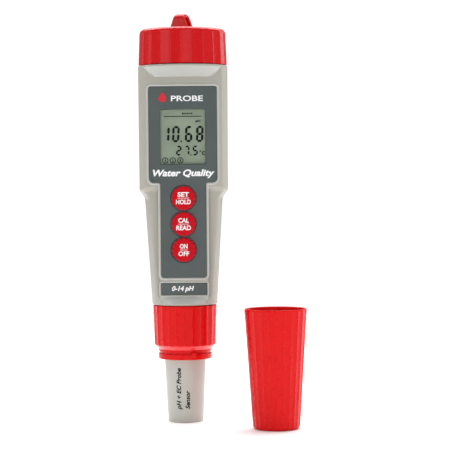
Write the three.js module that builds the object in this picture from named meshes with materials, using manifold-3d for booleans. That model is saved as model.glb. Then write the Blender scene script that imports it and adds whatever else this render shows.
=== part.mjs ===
// A pen-type water quality probe standing on its sensor tip, with its protective cap standing open
// beside it. Millimetres, +Z up, display facing -Y. The origin is the centre of the bottom of the box
// around the pair. Every piece of the probe is drawn about the probe's own axis, and every piece of
// the cap about the cap's, and two groups then set them side by side.
import * as THREE from "three";
import { mergeVertices } from "three/addons/utils/BufferGeometryUtils.js";
import Module from "manifold-3d";

const wasm = await Module();
wasm.setup();

// ---------------------------------------------------------------- driving dimensions
const GAP = 0.3; // clearance between neighbouring pieces
const SEAT = 0.05; // clearance where a flange seats against a shell
const CUT = 60; // reach of a cutting block, larger than the part in every direction
const ROUND = 48; // sides of a large turned surface
const INNER_ROUND = 24; // sides of a hidden turned surface
const SMALL_ROUND = 12; // sides of a small turned surface
const FLUTES = 24; // flats round the caps and the collar

const AXES_APART_X = 38.3; // from the probe's axis to the cap's
const AXES_APART_Y = 27; // how far the cap stands in front

const housing = {
  bottom: 50.5,
  top: 152.4,
  rim: 151.6, // lower edge of the plain round rim under the battery cap
  waistLow: 96.1, // the shoulder runs between these two heights
  waistHigh: 99.4,
  bottomRadius: 13.9,
  waistRadius: 16.7,
  shoulderRadius: 19,
  topRadius: 19.2,
  wall: 1.8,
};
const face = {
  depth: 9.7, // from the axis to the overlay's plane
  sideDepth: 8.1, // the flats beside the keypad stand further back
  backing: 2.1, // wall behind the overlay's plane
  browLow: 147.5, // the brow leans out from here to the rim
  stepLow: 98.9,
  stepHigh: 100.6,
  scoopHigh: 54, // the scoop leans out from here down to the bottom rim
  scoopLow: 51.3,
  tongueHalf: 10.35, // raised strip that carries the keypad
};
const overlay = {
  wideHalf: 14.4,
  narrowHalf: 9.6,
  top: 143.35,
  notch: 102.7,
  bottom: 62.3,
  thickness: 0.5,
  pocket: 0.8,
};
const display = { half: 9.66, bottom: 110.3, top: 133.8, corner: 1 };
const glass = { margin: 2.2, thickness: 1.1, frameWall: 1.2 }; // display glass behind the window
const zebra = { height: 1.6, shorter: 1, fromBottom: 0.4, fromTop: 2 };
const label = { half: 9.7, bottom: 54.9, top: 59.8, corner: 0.6 };
const button = {
  heights: { button_power: 74, button_cal: 85, button_mode: 96 },
  radius: 5.26,
  toothDepth: 0.5,
  teeth: 16,
  proud: 0.9,
  thickness: 2.4,
  stemRadius: 2,
  travel: 0.6,
};
const dome = { frontRadius: 2, backRadius: 3, height: 0.8 };
const mat = { half: 7.8, bottom: 67, top: 102, corner: 1.5, thickness: 0.7 };
const board = { front: 4.3, thickness: 1.4, bottom: 60, top: 145, narrowHalf: 10.5, wideHalf: 13.5 };
const screw = { x: 8, low: 64, high: 104.5, hole: 1.1, head: 1.7, headHeight: 1.2, shank: 0.8 };
const socket = { radius: 5.9, bore: 4.5, bottom: 46.6, boreTop: 51.2, top: 54 };
const ribbonHalf = 3.5;

const thread = { pitch: 3, turns: 2, height: 1 };
const neck = { radius: 14.6, bore: 12.9, top: 163.5, flangeLow: 147.6, flangeHigh: 150 };
const spigot = { radius: 10.4, bore: 8.4, bottom: 40.2, flangeLow: 52.6, flangeHigh: 55 };
const batteryCap = {
  bottom: 152.7,
  top: 168.1,
  lowRadius: 18.9,
  highRadius: 18.4,
  bore: 16.1,
  ceiling: 165.5,
  rounding: 1.8,
};
const lanyardLoop = {
  height: 6.6,
  baseHalf: 4.4,
  topHalf: 2.2,
  depth: 8.4,
  hole: 3.8,
  shoulder: 2.6,
  turn: -20,
};

const sensor = {
  tipRadius: 7.6,
  topRadius: 8.9,
  bore: 6.3,
  recess: 7, // depth of the open end round the bulb
  flangeLow: 35.5,
  flangeHigh: 38,
  flangeRadius: 10.6,
  plugRadius: 8,
  top: 46,
};
const collar = {
  bottom: 27.1,
  top: 50.2,
  neckRadius: 11.46,
  grooveRadius: 10.9,
  grooveLow: 29.5,
  grooveHigh: 30.4,
  chamferLow: 31.4,
  chamferHigh: 33.3,
  lowRadius: 13.2,
  highRadius: 13.57,
  lip: 9.3,
  lipTop: 35.2,
  bore: 11.9,
};
const cell = { radius: 5.8, height: 5.2, count: 4, behind: 4.6 };
const tray = { bottom: 124, bore: 6.1, radius: 6.9, flangeRadius: 8, flangeTop: 152 };
const contacts = {
  springRadius: 1.4,
  wire: 0.25,
  springPitch: 1.2,
  springTurns: 3,
  clipHalf: 1.5,
  clipLow: 136,
  clipHigh: 144,
};
const guard = {
  height: 50,
  bottomRadius: 9.7,
  mouthRadius: 13,
  floor: 2,
  boreLow: 8.2,
  boreHigh: 11.65,
  spongeHigh: 7.4,
};

// ---------------------------------------------------------------- shaping tools
function solid(geometry) {
  const bare = geometry.clone();
  bare.deleteAttribute("normal");
  bare.deleteAttribute("uv");
  const merged = mergeVertices(bare, 1e-4);
  const mesh = new wasm.Mesh({
    numProp: 3,
    vertProperties: merged.attributes.position.array,
    triVerts: new Uint32Array(merged.index.array),
  });
  return new wasm.Manifold(mesh);
}

// A turned solid about Z. The profile is a list of [radius, z] that runs up the outside.
function turned(profile, sides = ROUND) {
  const points = profile.map(([radius, z]) => new THREE.Vector2(radius, z));
  points.push(points[0].clone());
  return solid(new THREE.LatheGeometry(points, sides).rotateX(Math.PI / 2));
}

function rod(radius, low, high, sides = INNER_ROUND) {
  return turned([[0, low], [radius, low], [radius, high], [0, high]], sides);
}

function ring(inner, outer, low, high, sides = INNER_ROUND) {
  return turned([[inner, low], [outer, low], [outer, high], [inner, high]], sides);
}

function block(x0, x1, y0, y1, z0, z1) {
  const box = new THREE.BoxGeometry(x1 - x0, y1 - y0, z1 - z0);
  return solid(box.translate((x0 + x1) / 2, (y0 + y1) / 2, (z0 + z1) / 2));
}

// An outline in X and Z, given thickness from the front plane at y towards the back.
function plate(shape, front, thickness) {
  const flat = new THREE.ExtrudeGeometry(shape, { depth: thickness, bevelEnabled: false, curveSegments: 2 });
  return solid(flat.rotateX(Math.PI / 2).translate(0, front + thickness, 0));
}

// An outline drawn in Y and Z, carried across from x0 to x1.
function carriedAlongX(shape, x0, x1) {
  const bar = new THREE.ExtrudeGeometry(shape, { depth: x1 - x0, bevelEnabled: false, curveSegments: 3 });
  const upright = new THREE.Matrix4().set(0, 0, 1, x0, 1, 0, 0, 0, 0, 1, 0, 0, 0, 0, 0, 1);
  return solid(bar.applyMatrix4(upright));
}

function polygon(points) {
  return new THREE.Shape(points.map(([across, up]) => new THREE.Vector2(across, up)));
}

function wedge(points, x0, x1) {
  return carriedAlongX(polygon(points), x0, x1);
}

function roundedBox(half, bottom, top, corner) {
  const shape = new THREE.Shape();
  shape.moveTo(-half + corner, bottom);
  shape.lineTo(half - corner, bottom);
  shape.absarc(half - corner, bottom + corner, corner, -Math.PI / 2, 0);
  shape.absarc(half - corner, top - corner, corner, 0, Math.PI / 2);
  shape.absarc(-half + corner, top - corner, corner, Math.PI / 2, Math.PI);
  shape.absarc(-half + corner, bottom + corner, corner, Math.PI, 1.5 * Math.PI);
  return shape;
}

// A rod lying along Y, from the front plane back by its length, centred at height z.
function pegAlongY(radius, front, length, z, sides = INNER_ROUND, x = 0) {
  const peg = new THREE.CylinderGeometry(radius, radius, length, sides);
  return solid(peg.translate(x, front + length / 2, z));
}

class Helix extends THREE.Curve {
  constructor(radius, pitch, turns, start) {
    super();
    Object.assign(this, { radius, pitch, turns, start });
  }
  getPoint(t, target = new THREE.Vector3()) {
    const angle = t * this.turns * 2 * Math.PI;
    const z = this.start + t * this.turns * this.pitch;
    return target.set(this.radius * Math.cos(angle), this.radius * Math.sin(angle), z);
  }
}

// A round wire of six sides wound about Z.
function coil(radius, wire, pitch, turns, start, stepsPerTurn) {
  const section = new THREE.Shape().absarc(0, 0, wire, 0, 2 * Math.PI);
  const extrudePath = new Helix(radius, pitch, turns, start);
  const options = { steps: Math.round(stepsPerTurn * turns), extrudePath, curveSegments: 3 };
  return solid(new THREE.ExtrudeGeometry(section, options));
}

// The rounded ridge that winds round a threaded tube.
function threadRidge(tubeRadius, start) {
  return coil(tubeRadius, thread.height, thread.pitch, thread.turns, start, 16);
}

const finishes = {
  greyShell: { color: 0xb5b2a6, roughness: 0.5, metalness: 0 },
  lightGrey: { color: 0xc4c4ba, roughness: 0.45, metalness: 0 },
  red: { color: 0xcc2c30, roughness: 0.35, metalness: 0 },
  brightRed: { color: 0xd82a2a, roughness: 0.35, metalness: 0 },
  keyRed: { color: 0xc81428, roughness: 0.6, metalness: 0 },
  darkPanel: { color: 0x586262, roughness: 0.5, metalness: 0 },
  clear: { color: 0xa9b3a6, roughness: 0.1, metalness: 0 },
  glass: { color: 0x96a591, roughness: 0.1, metalness: 0 },
  blackPlastic: { color: 0x202224, roughness: 0.6, metalness: 0 },
  rubber: { color: 0x2a2a2c, roughness: 0.8, metalness: 0 },
  circuitBoard: { color: 0x1f5a34, roughness: 0.5, metalness: 0 },
  metal: { color: 0xb9bcbf, roughness: 0.3, metalness: 1 },
  ceramic: { color: 0xe6e2d8, roughness: 0.8, metalness: 0 },
  sponge: { color: 0xe3cf7a, roughness: 0.95, metalness: 0 },
};

function piece(name, shape, finish) {
  const found = shape.getMesh();
  const geometry = new THREE.BufferGeometry();
  geometry.setAttribute("position", new THREE.BufferAttribute(found.vertProperties, 3));
  geometry.setIndex(new THREE.BufferAttribute(found.triVerts, 1));
  const mesh = new THREE.Mesh(geometry, new THREE.MeshStandardMaterial(finishes[finish]));
  mesh.name = name;
  return mesh;
}

// ---------------------------------------------------------------- housing
function bodyProfile(inset, low, high) {
  const h = housing;
  return [
    [0, low],
    [h.bottomRadius - inset, low],
    [h.waistRadius - inset, h.waistLow],
    [h.shoulderRadius - inset, h.waistHigh],
    [h.topRadius - inset, high],
    [0, high],
  ];
}

// Everything in front of the face: the brow, the display plane, the step and the scoop.
function inFrontOfFace() {
  const { depth, sideDepth, browLow, stepLow, stepHigh, scoopHigh, scoopLow, tongueHalf } = face;
  const front = -CUT;
  const rimFront = -housing.topRadius - GAP;
  const scoopFront = -housing.bottomRadius - GAP;
  const centre = [
    [-depth, scoopHigh],
    [-depth, browLow],
    [rimFront, housing.rim],
    [front, housing.rim],
    [front, scoopLow],
    [scoopFront, scoopLow],
  ];
  const side = [
    [-sideDepth, scoopHigh],
    [-sideDepth, stepLow],
    [-depth - GAP, stepHigh],
    [front, stepHigh],
    [front, scoopHigh],
  ];
  return wedge(centre, -CUT, CUT)
    .add(wedge(side, -CUT, -tongueHalf))
    .add(wedge(side, tongueHalf, CUT));
}

function overlayShape(grow) {
  const { wideHalf, narrowHalf, top, notch, bottom } = overlay;
  const wide = wideHalf + grow;
  const narrow = narrowHalf + grow;
  return polygon([
    [-narrow, bottom - grow],
    [narrow, bottom - grow],
    [narrow, notch - grow],
    [wide, notch - grow],
    [wide, top + grow],
    [-wide, top + grow],
    [-wide, notch - grow],
    [-narrow, notch - grow],
  ]);
}

function buttonHoles(radius, front, length) {
  return Object.values(button.heights)
    .map((z) => pegAlongY(radius, front, length, z))
    .reduce((all, hole) => all.add(hole));
}

// The round cavity inside the wall, and its two shallow bays behind the keys and the display.
function hollow() {
  const { wall } = housing;
  const sidePlane = -(face.sideDepth - wall);
  const facePlane = -(face.depth - face.backing);
  const bayTop = face.browLow - wall;
  const keyBayHalf = 8.4;
  const cavity = turned(bodyProfile(wall, housing.bottom + wall, housing.top - wall - GAP));
  const behindSides = block(-CUT, CUT, sidePlane, CUT, 0, CUT * 3);
  const behindKeys = block(-keyBayHalf, keyBayHalf, facePlane, 0, face.scoopHigh + wall, bayTop);
  const behindDisplay = block(-CUT, CUT, facePlane, 0, face.stepHigh + wall, bayTop);
  return cavity.intersect(behindSides.add(behindKeys).add(behindDisplay));
}

function wholeHousing() {
  const pocketFloor = -face.depth + overlay.pocket;
  const through = face.backing + 2;
  const window = roundedBox(display.half, display.bottom, display.top, display.corner);
  const labelPocket = roundedBox(label.half + GAP, label.bottom - GAP, label.top + GAP, label.corner);
  return turned(bodyProfile(0, housing.bottom, housing.top))
    .subtract(hollow())
    .subtract(inFrontOfFace())
    .subtract(plate(overlayShape(GAP), -face.depth - 1, 1 + overlay.pocket))
    .subtract(plate(labelPocket, -face.depth - 1, 1 + overlay.pocket))
    .subtract(plate(window, pocketFloor - 1, through))
    .subtract(buttonHoles(button.radius + GAP, pocketFloor - 1, through))
    .subtract(rod(neck.radius + GAP, neck.flangeHigh + SEAT, CUT * 3))
    .subtract(rod(spigot.radius + GAP, 0, spigot.flangeLow - SEAT));
}

function housingPieces() {
  const whole = wholeHousing();
  const front = whole.intersect(block(-CUT, CUT, -CUT, -GAP / 2, 0, CUT * 3));
  const rear = whole.intersect(block(-CUT, CUT, GAP / 2, CUT, 0, CUT * 3));
  return [piece("front_housing", front, "greyShell"), piece("rear_housing", rear, "greyShell")];
}

function neckInsert() {
  const cavityRadius = housing.topRadius - housing.wall - GAP;
  const flange = rod(cavityRadius - 0.2, neck.flangeLow, neck.flangeHigh);
  const frontPlane = -(face.sideDepth - housing.wall) + GAP;
  const root = rod(neck.radius, neck.flangeHigh - GAP, neck.flangeHigh + 2 * GAP);
  const keyed = flange.add(root).subtract(block(-CUT, CUT, -CUT, frontPlane, 0, CUT * 3));
  const tube = rod(neck.radius, neck.flangeHigh + GAP, neck.top);
  const batteryWell = rod(tray.radius + GAP, neck.flangeLow - 1, neck.top).translate(0, cell.behind, 0);
  const flangeSeat = rod(neck.bore, neck.flangeHigh, CUT * 3);
  const ridge = threadRidge(neck.radius, batteryCap.bottom + 3);
  const shape = keyed.add(tube).add(ridge).subtract(flangeSeat).subtract(batteryWell);
  return piece("neck_insert", shape, "greyShell");
}

function spigotInsert() {
  const cavityRadius = housing.bottomRadius - housing.wall - GAP;
  const frontPlane = -(face.sideDepth - housing.wall) + GAP;
  const flange = rod(cavityRadius, spigot.flangeLow, spigot.flangeHigh);
  const root = rod(spigot.radius, spigot.flangeLow - 2 * GAP, spigot.flangeLow + GAP);
  const keyed = flange.add(root).subtract(block(-CUT, CUT, -CUT, frontPlane, 0, CUT * 3));
  const tube = rod(spigot.radius, spigot.bottom, spigot.flangeLow - GAP);
  const ridge = threadRidge(spigot.radius, spigot.bottom + 1.4);
  const shape = keyed.add(tube).add(ridge).subtract(rod(spigot.bore, 0, CUT * 3));
  return piece("spigot_insert", shape, "greyShell");
}

// ---------------------------------------------------------------- face, display and keys
function overlayPanel() {
  const window = roundedBox(display.half, display.bottom, display.top, display.corner);
  const shape = plate(overlayShape(0), -face.depth, overlay.thickness)
    .subtract(plate(window, -face.depth - 1, 3))
    .subtract(buttonHoles(button.radius + GAP, -face.depth - 1, 3));
  return piece("overlay_panel", shape, "darkPanel");
}

function labelPlate() {
  const outline = roundedBox(label.half, label.bottom, label.top, label.corner - GAP);
  return piece("label_plate", plate(outline, -face.depth, overlay.thickness), "darkPanel");
}

function displayPieces() {
  const lensFront = -face.depth + overlay.pocket;
  const lens = roundedBox(display.half - GAP, display.bottom + GAP, display.top - GAP, display.corner - GAP);
  const glassFront = -(face.depth - face.backing) + GAP;
  const glassBack = glassFront + glass.thickness;
  const half = display.half + glass.margin;
  const low = display.bottom - glass.margin;
  const high = display.top + glass.margin;
  const frameBack = -board.front - GAP;
  const inside = half + GAP;
  const outside = inside + glass.frameWall;
  const frameLow = low - GAP - glass.frameWall;
  const frameHigh = high + GAP + glass.frameWall;
  const frame = block(-outside, outside, glassFront, frameBack, frameLow, frameHigh);
  const opening = block(-inside, inside, -CUT, CUT, low - GAP, high + GAP);
  const stripHalf = half - zebra.shorter;
  function strip(bottom) {
    return block(-stripHalf, stripHalf, glassBack + GAP, frameBack, bottom, bottom + zebra.height);
  }
  return [
    piece("lcd_window", plate(lens, lensFront, 1), "clear"),
    piece("lcd_glass", block(-half, half, glassFront, glassBack, low, high), "glass"),
    piece("lcd_frame", frame.subtract(opening), "blackPlastic"),
    piece("zebra_strip_lower", strip(low + zebra.fromBottom), "rubber"),
    piece("zebra_strip_upper", strip(high - zebra.fromTop), "rubber"),
  ];
}

function toothedDisc() {
  const { teeth, radius, toothDepth } = button;
  const root = radius - toothDepth;
  const toothOutline = [[-0.8, root], [-0.35, radius], [0.35, radius], [0.8, root]];
  const points = [];
  for (let tooth = 0; tooth < teeth; tooth++) {
    for (const [turn, reach] of toothOutline) {
      const angle = ((2 * tooth + turn) * Math.PI) / teeth;
      points.push([reach * Math.cos(angle), reach * Math.sin(angle)]);
    }
  }
  return polygon(points);
}

function keyPieces() {
  const keyFront = -face.depth - button.proud;
  const keyBack = keyFront + button.thickness;
  const domeFront = -board.front - GAP - dome.height;
  const stemLength = domeFront - GAP - button.travel - keyBack;
  return Object.entries(button.heights).flatMap(([name, z]) => {
    const cap = plate(toothedDisc(), keyFront, button.thickness).translate(0, 0, z);
    const stem = pegAlongY(button.stemRadius, keyBack - GAP, stemLength + GAP, z, SMALL_ROUND);
    const disc = new THREE.CylinderGeometry(dome.backRadius, dome.frontRadius, dome.height, SMALL_ROUND);
    disc.translate(0, domeFront + dome.height / 2, z);
    return [
      piece(name, cap.add(stem), "keyRed"),
      piece(name.replace("button", "dome_switch"), solid(disc), "metal"),
    ];
  });
}

function keypadMat() {
  const back = -(face.depth - face.backing) + GAP;
  const sheet = plate(roundedBox(mat.half, mat.bottom, mat.top, mat.corner), back, mat.thickness);
  return piece("keypad_mat", sheet.subtract(buttonHoles(button.stemRadius + GAP, -CUT, CUT * 2)), "rubber");
}

// ---------------------------------------------------------------- electronics and power
function boardPieces() {
  const { front, thickness, bottom, top, narrowHalf, wideHalf } = board;
  const shape = polygon([
    [-narrowHalf, bottom],
    [narrowHalf, bottom],
    [narrowHalf, housing.waistHigh],
    [wideHalf, housing.waistHigh + 3],
    [wideHalf, top],
    [-wideHalf, top],
    [-wideHalf, housing.waistHigh + 3],
    [-narrowHalf, housing.waistHigh],
  ]);
  const screwHeights = { pcb_screw_lower: screw.low, pcb_screw_upper: screw.high };
  let main = plate(shape, -front, thickness);
  const screws = Object.entries(screwHeights).map(([name, z]) => {
    main = main.subtract(pegAlongY(screw.hole, -CUT, CUT * 2, z, SMALL_ROUND, screw.x));
    const head = pegAlongY(screw.head, -front + thickness + GAP, screw.headHeight, z, SMALL_ROUND, screw.x);
    const shank = pegAlongY(screw.shank, -front - 1, thickness + 2, z, SMALL_ROUND, screw.x);
    return piece(name, head.add(shank), "metal");
  });
  const cup = rod(socket.radius, socket.bottom, socket.top).subtract(rod(socket.bore, 0, socket.boreTop));
  const ribbonPath = [
    [0.4, socket.top + GAP],
    [1, socket.top + GAP],
    [1, 58],
    [-1.6, 61],
    [-1.6, 68],
    [-2.3, 68],
    [-2.3, 60.7],
    [0.4, 57.6],
  ];
  return [
    piece("main_pcb", main, "circuitBoard"),
    ...screws,
    piece("module_socket", cup, "blackPlastic"),
    piece("sensor_ribbon", wedge(ribbonPath, -ribbonHalf, ribbonHalf), "ceramic"),
  ];
}

function powerPieces() {
  const stackLow = tray.bottom + 1.8;
  const wellTop = stackLow + cell.count * (cell.height + GAP) + GAP;
  const well = rod(tray.bore, tray.bottom + 1.2, wellTop);
  const window = block(-3.2, 3.2, -CUT, -tray.bore + 1.5, tray.bottom + 4, wellTop);
  const pull = block(-3, 3, -0.8, 0.8, tray.flangeTop - 1, tray.flangeTop + 7);
  const holder = rod(tray.radius, tray.bottom, neck.flangeHigh + GAP + 0.2)
    .add(rod(tray.flangeRadius, neck.flangeHigh + GAP, tray.flangeTop))
    .subtract(well)
    .subtract(window)
    .subtract(rod(2.2, 0, tray.bottom + 3, SMALL_ROUND))
    .add(pull)
    .translate(0, cell.behind, 0);
  const cells = [];
  for (let index = 0; index < cell.count; index++) {
    const low = stackLow + index * (cell.height + GAP);
    const shape = turned([
      [0, low],
      [cell.radius - 0.8, low],
      [cell.radius - 0.8, low + 0.4],
      [cell.radius, low + 0.8],
      [cell.radius, low + cell.height],
      [0, low + cell.height],
    ], 24);
    cells.push(piece("battery_cell_" + (index + 1), shape.translate(0, cell.behind, 0), "metal"));
  }
  const { springRadius, wire, springPitch, springTurns, clipHalf, clipLow, clipHigh } = contacts;
  const springLow = stackLow - 4.4;
  const spring = coil(springRadius, wire, springPitch, springTurns, springLow, 10);
  const clipY = cell.behind - tray.radius - GAP - SEAT;
  const clip = block(-clipHalf, clipHalf, clipY, clipY + GAP, clipLow, clipHigh);
  return [
    piece("battery_tray", holder, "blackPlastic"),
    ...cells,
    piece("battery_contact_spring", spring.translate(0, cell.behind, 0), "metal"),
    piece("battery_contact_clip", clip, "metal"),
  ];
}

// ---------------------------------------------------------------- battery cap
// A low arch seen from its side, narrowed towards its top seen from the front.
function lanyardLoopShape() {
  const { height, baseHalf, topHalf, depth, hole, shoulder } = lanyardLoop;
  const arch = new THREE.Shape();
  arch.moveTo(-depth / 2, -1);
  arch.lineTo(depth / 2, -1);
  arch.absarc(depth / 2 - shoulder, height - shoulder, shoulder, 0, Math.PI / 2);
  arch.absarc(-depth / 2 + shoulder, height - shoulder, shoulder, Math.PI / 2, Math.PI);
  const taper = polygon([[-baseHalf, -1], [baseHalf, -1], [topHalf, height + 1], [-topHalf, height + 1]]);
  const opening = new THREE.CylinderGeometry(hole / 2, hole / 2, depth * 2, SMALL_ROUND);
  opening.rotateZ(Math.PI / 2).translate(0, 0, height / 2 - 0.3);
  return carriedAlongX(arch, -baseHalf, baseHalf)
    .intersect(plate(taper, -depth, depth * 2))
    .subtract(solid(opening));
}

function batteryCapPieces() {
  const c = batteryCap;
  const outside = turned([
    [0, c.bottom],
    [c.lowRadius, c.bottom],
    [c.highRadius, c.top - c.rounding],
    [c.highRadius - 0.5, c.top - 0.5],
    [c.highRadius - c.rounding, c.top],
    [0, c.top],
  ], FLUTES);
  const loop = lanyardLoopShape().rotate(0, 0, lanyardLoop.turn).translate(0, 0, c.top);
  const shape = outside.add(loop).subtract(rod(c.bore, 0, c.ceiling, ROUND));
  const gasket = ring(neck.bore, neck.radius, neck.top + GAP, c.ceiling - GAP);
  return [piece("battery_cap", shape, "red"), piece("battery_cap_gasket", gasket, "rubber")];
}

// ---------------------------------------------------------------- sensor module and collar
function collarPiece() {
  const c = collar;
  const round = turned([
    [0, c.bottom],
    [c.neckRadius, c.bottom],
    [c.neckRadius, c.grooveLow],
    [c.grooveRadius, c.grooveLow],
    [c.grooveRadius, c.grooveHigh],
    [c.neckRadius, c.grooveHigh],
    [c.neckRadius, c.chamferLow + GAP],
    [0, c.chamferLow + GAP],
  ]);
  const fluted = turned([
    [0, c.chamferLow],
    [c.neckRadius, c.chamferLow],
    [c.lowRadius, c.chamferHigh],
    [c.highRadius, c.top],
    [0, c.top],
  ], FLUTES);
  const nibFront = -c.neckRadius - 0.2;
  const nib = block(2.9, 4.9, nibFront, -c.grooveRadius + 1, c.grooveLow - 1.4, c.grooveLow + 0.3);
  const bore = rod(c.lip, 0, c.lipTop + 1, ROUND).add(rod(c.bore, c.lipTop, CUT * 2, ROUND));
  return piece("collar", round.add(fluted).add(nib).subtract(bore), "brightRed");
}

function sensorPieces() {
  const s = sensor;
  const shell = turned([
    [s.bore, 0],
    [s.tipRadius, 0],
    [s.topRadius, collar.bottom],
    [s.topRadius + 0.05, s.flangeLow],
    [s.flangeRadius, s.flangeLow],
    [s.flangeRadius, s.flangeHigh],
    [s.plugRadius, s.flangeHigh],
    [s.plugRadius, s.top],
    [3.5, s.top],
    [3.5, s.top - 2],
    [s.bore, s.top - 2],
  ]);
  const bulb = turned([
    [0, 2],
    [1.6, 2.5],
    [2.6, 3.6],
    [2.9, 5],
    [2.3, 6.5],
    [2.1, 7.5],
    [2.1, 40],
    [0, 40],
  ], 20);
  const tipInserts = [
    { name: "conductivity_pin_left", radius: 0.6, x: -4.4, y: 0, low: 2.5, high: 14, finish: "metal" },
    { name: "conductivity_pin_right", radius: 0.6, x: 4.4, y: 0, low: 2.5, high: 14, finish: "metal" },
    { name: "temperature_sensor", radius: 0.75, x: 0, y: -4.4, low: 2.5, high: 20, finish: "metal" },
    { name: "reference_junction", radius: 0.9, x: 0, y: 4.4, low: 6.4, high: 12, finish: "ceramic" },
  ];
  let bulkhead = rod(s.bore - GAP, s.recess, s.recess + 3).subtract(rod(2.1 + GAP, 0, 20, 20));
  const inserts = tipInserts.map(({ name, radius, x, y, low, high, finish }) => {
    bulkhead = bulkhead.subtract(rod(radius + 0.2, 0, 30, SMALL_ROUND).translate(x, y, 0));
    return piece(name, rod(radius, low, high, SMALL_ROUND).translate(x, y, 0), finish);
  });
  const sealCentre = (s.plugRadius + s.flangeRadius) / 2;
  const sealHeight = (s.flangeHigh + spigot.bottom) / 2;
  const seal = new THREE.TorusGeometry(sealCentre, 0.75, 6, 24).translate(0, 0, sealHeight);
  const plug = rod(4.1, s.top + GAP, s.top + 4.4);
  return [
    piece("module_shell", shell, "lightGrey"),
    piece("tip_bulkhead", bulkhead, "blackPlastic"),
    piece("ph_bulb", bulb, "glass"),
    ...inserts,
    piece("module_oring", solid(seal), "rubber"),
    piece("module_plug", plug, "blackPlastic"),
  ];
}

// ---------------------------------------------------------------- protective cap
function guardPieces() {
  const g = guard;
  const outside = turned([
    [0, 0],
    [g.bottomRadius - 1, 0],
    [g.bottomRadius, 1],
    [g.mouthRadius, g.height],
    [0, g.height],
  ], FLUTES);
  const above = g.height + 1;
  const inside = turned([[0, g.floor], [g.boreLow, g.floor], [g.boreHigh, above], [0, above]]);
  const pad = turned([
    [0, g.floor + GAP],
    [g.boreLow - 0.7, g.floor + GAP],
    [g.boreLow - 0.4, g.floor + 3],
    [g.boreLow - 0.6, g.spongeHigh + g.floor - 0.4],
    [0, g.spongeHigh + g.floor],
  ], 24);
  const cap = outside.subtract(inside);
  return [piece("protective_cap", cap, "brightRed"), piece("cap_sponge", pad, "sponge")];
}

// ---------------------------------------------------------------- the pair, side by side
const probe = new THREE.Group();
probe.add(
  ...housingPieces(),
  neckInsert(),
  spigotInsert(),
  overlayPanel(),
  labelPlate(),
  ...displayPieces(),
  ...keyPieces(),
  keypadMat(),
  ...boardPieces(),
  ...powerPieces(),
  ...batteryCapPieces(),
  collarPiece(),
  ...sensorPieces(),
);
const cap = new THREE.Group();
cap.add(...guardPieces());

const pairCentreX = (AXES_APART_X + guard.mouthRadius - housing.topRadius) / 2;
const pairCentreY = (housing.topRadius - AXES_APART_Y - guard.mouthRadius) / 2;
probe.position.set(-pairCentreX, -pairCentreY, 0);
cap.position.set(AXES_APART_X - pairCentreX, -AXES_APART_Y - pairCentreY, 0);

const pair = new THREE.Group();
pair.add(probe, cap);
export default pair;
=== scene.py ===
"""The looks of a pen-type water quality probe that stands on its sensor tip beside its protective cap.

Lengths are in millimetres until they reach Blender, which takes metres. Every piece of the probe is
drawn about the probe's own axis, and every piece of the cap about the cap's. In both, X runs to the
right of someone reading the display, Y away from them and Z up. The axes and the main heights come
from the CAD frame, and the shapes are built here.
"""
import math

import bmesh
import bpy
from mathutils import Euler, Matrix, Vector


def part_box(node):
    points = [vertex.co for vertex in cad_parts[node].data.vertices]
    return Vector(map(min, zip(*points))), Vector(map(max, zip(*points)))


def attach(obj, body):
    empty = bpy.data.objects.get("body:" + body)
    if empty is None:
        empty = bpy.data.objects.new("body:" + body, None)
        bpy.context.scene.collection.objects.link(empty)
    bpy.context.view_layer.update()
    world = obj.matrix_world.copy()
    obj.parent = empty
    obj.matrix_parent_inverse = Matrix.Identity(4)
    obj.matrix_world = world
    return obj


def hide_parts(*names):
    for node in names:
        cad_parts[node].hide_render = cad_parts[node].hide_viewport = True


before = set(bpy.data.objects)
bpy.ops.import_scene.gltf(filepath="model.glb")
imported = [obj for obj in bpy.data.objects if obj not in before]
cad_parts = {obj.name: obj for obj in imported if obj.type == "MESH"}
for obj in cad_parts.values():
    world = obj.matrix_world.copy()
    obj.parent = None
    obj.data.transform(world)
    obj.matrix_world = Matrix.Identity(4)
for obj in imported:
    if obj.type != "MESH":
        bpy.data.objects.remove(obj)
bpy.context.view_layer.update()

MM = 0.001
TURN = 2 * math.pi


# ---- places taken from the frame
def node_box(node):
    """The lowest and highest corner of a CAD node, in millimetres."""
    low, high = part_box(node)
    return low / MM, high / MM


def axis_of(node):
    low, high = node_box(node)
    return ((low.x + high.x) / 2, (low.y + high.y) / 2)


PROBE = axis_of("module_shell")
CAP = axis_of("protective_cap")
housing_low, housing_high = node_box("rear_housing")
overlay_low, overlay_high = node_box("overlay_panel")
label_low, label_high = node_box("label_plate")
lens_low, lens_high = node_box("lcd_window")
collar_low, collar_high = node_box("collar")
battery_cap_low, battery_cap_high = node_box("battery_cap")
guard_low, guard_high = node_box("protective_cap")
KEY_HEIGHTS = {
    node: sum(corner.z for corner in node_box(node)) / 2
    for node in ("button_mode", "button_cal", "button_power")
}

# ---- driving sizes
FACE = PROBE[1] - overlay_low.y  # from the axis to the plane of the overlay
SIDE_FACE = FACE - 1.6  # the flats beside the keypad stand further back
WALL = 1.8
GAP = 0.3

BOTTOM, TOP = housing_low.z, housing_high.z
RIM = TOP - 0.8
WAIST_LOW, WAIST_HIGH = 96.1, 99.4
STEP_LOW, STEP_HIGH = 98.9, 100.6
BROW_LOW = 147.5
SCOOP_LOW, SCOOP_HIGH = 51.3, 54.0
BOTTOM_RADIUS, WAIST_RADIUS, SHOULDER_RADIUS, TOP_RADIUS = 13.9, 16.7, 19.0, 19.2
BROW_HALF = 12.6
TONGUE_HALF = 10.2

FLUTES = 24
FLUTE_OFFSETS = (-7.5, -7.0, -6.5, -6.0, -3.0, 0.0, 3.0, 6.0, 6.5, 7.0)  # degrees from a flute's middle
BEAD_START = 6.5

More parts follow.
